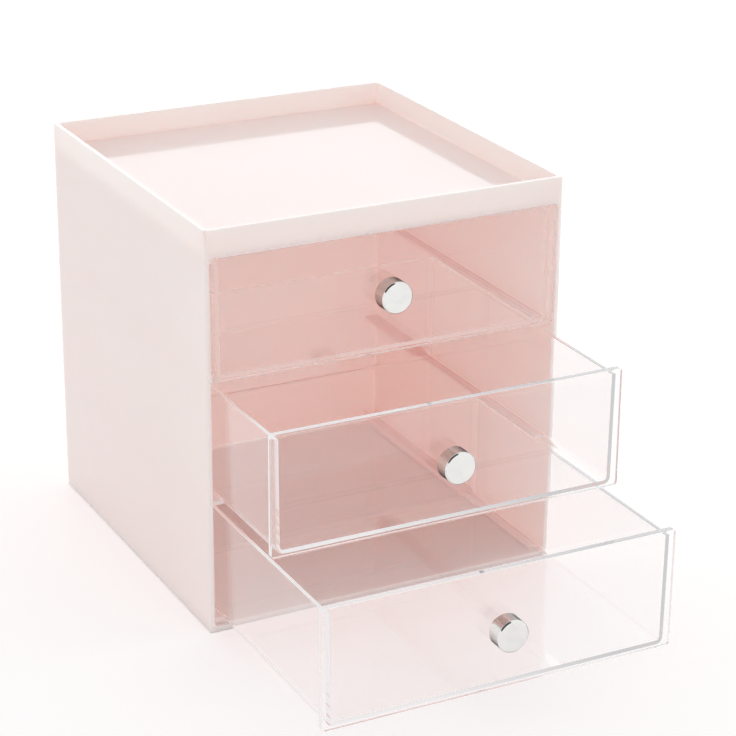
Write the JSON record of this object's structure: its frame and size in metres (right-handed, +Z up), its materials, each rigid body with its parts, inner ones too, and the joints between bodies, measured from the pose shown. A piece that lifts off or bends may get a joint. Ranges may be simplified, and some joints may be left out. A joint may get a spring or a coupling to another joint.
{
  "type": "makeup storage case with drawers",
  "caption": "Moulded box case with a sunken tray on top and clear pull-out drawers with round chrome knobs, for cosmetics.",
  "frame": {"origin": "middle of the underside of the case, on the surface it stands on", "axes": "+Z up, -Y to the front where the drawers pull out, +X to the right seen from the front"},
  "size_m": [0.17, 0.2852, 0.183],
  "materials": {
    "case_plastic": "glossy pale pink moulded plastic",
    "drawer_clear": "clear moulded plastic, polished",
    "knob_chrome": "mirror chrome plating",
    "screw_steel": "zinc-plated steel"
  },
  "bodies": {
    "case": {"case_shell": "case_plastic"},
    "drawer_bottom": {"drawer_bottom": "drawer_clear", "knob_bottom": "knob_chrome", "screw_bottom": "screw_steel"},
    "drawer_middle": {"drawer_middle": "drawer_clear", "knob_middle": "knob_chrome", "screw_middle": "screw_steel"},
    "drawer_top": {"drawer_top": "drawer_clear", "knob_top": "knob_chrome", "screw_top": "screw_steel"}
  },
  "joints": [
    {"name": "bottom_slide", "type": "slide", "parent": "case", "child": "drawer_bottom", "axis": [0, -1, 0], "range_m": [-0.103, 0.027]},
    {"name": "middle_slide", "type": "slide", "parent": "case", "child": "drawer_middle", "axis": [0, -1, 0], "range_m": [-0.057, 0.073]},
    {"name": "top_slide", "type": "slide", "parent": "case", "child": "drawer_top", "axis": [0, -1, 0], "range_m": [0, 0.13]}
  ]
}
